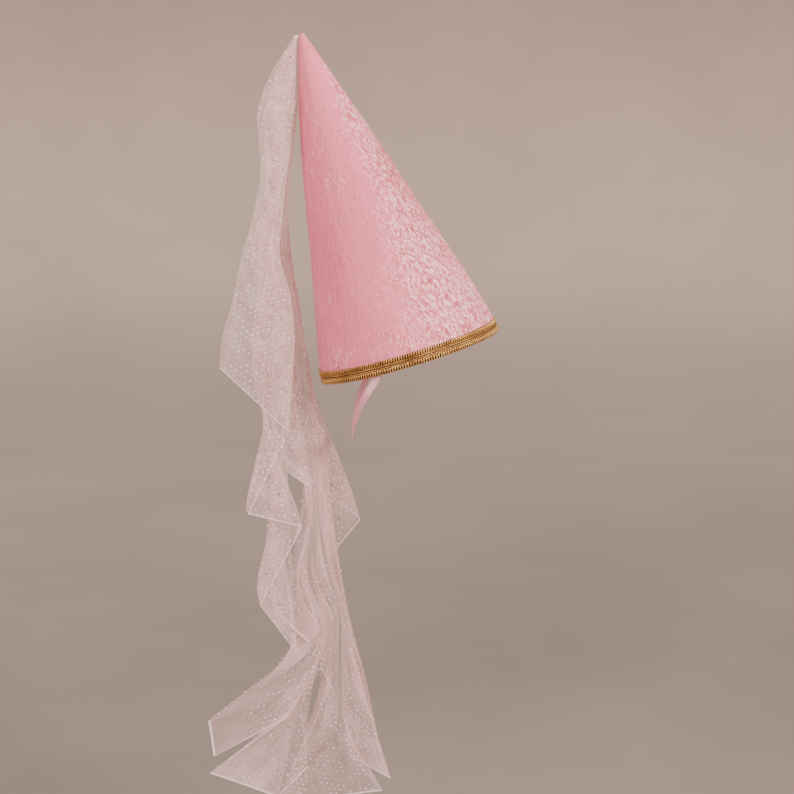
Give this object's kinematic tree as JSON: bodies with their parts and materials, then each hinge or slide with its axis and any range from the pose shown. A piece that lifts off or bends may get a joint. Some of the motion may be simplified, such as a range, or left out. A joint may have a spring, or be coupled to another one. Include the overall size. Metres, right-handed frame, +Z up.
{
  "type": "hennin cone hat",
  "caption": "Tall velvet cone hat with a gold braid round its mouth, a nape elastic and a long tulle veil gathered at the tip.",
  "frame": {"origin": "centre of the cone's mouth, where a head fills it", "axes": "+Z up as worn, +X to the wearer's front, +Y to the wearer's left"},
  "size_m": [0.297, 0.186, 0.8],
  "materials": {
    "velvet": "pink crushed velvet, nap laid in patches",
    "gold_gimp": "metallic gold gimp braid",
    "satin_elastic": "pink satin elastic",
    "glitter_tulle": "see-through dusty pink tulle with small glitter dots"
  },
  "bodies": {
    "root": {"crown": "velvet", "gold_braid": "gold_gimp", "nape_strap": "satin_elastic", "veil": "glitter_tulle"}
  },
  "joints": []
}
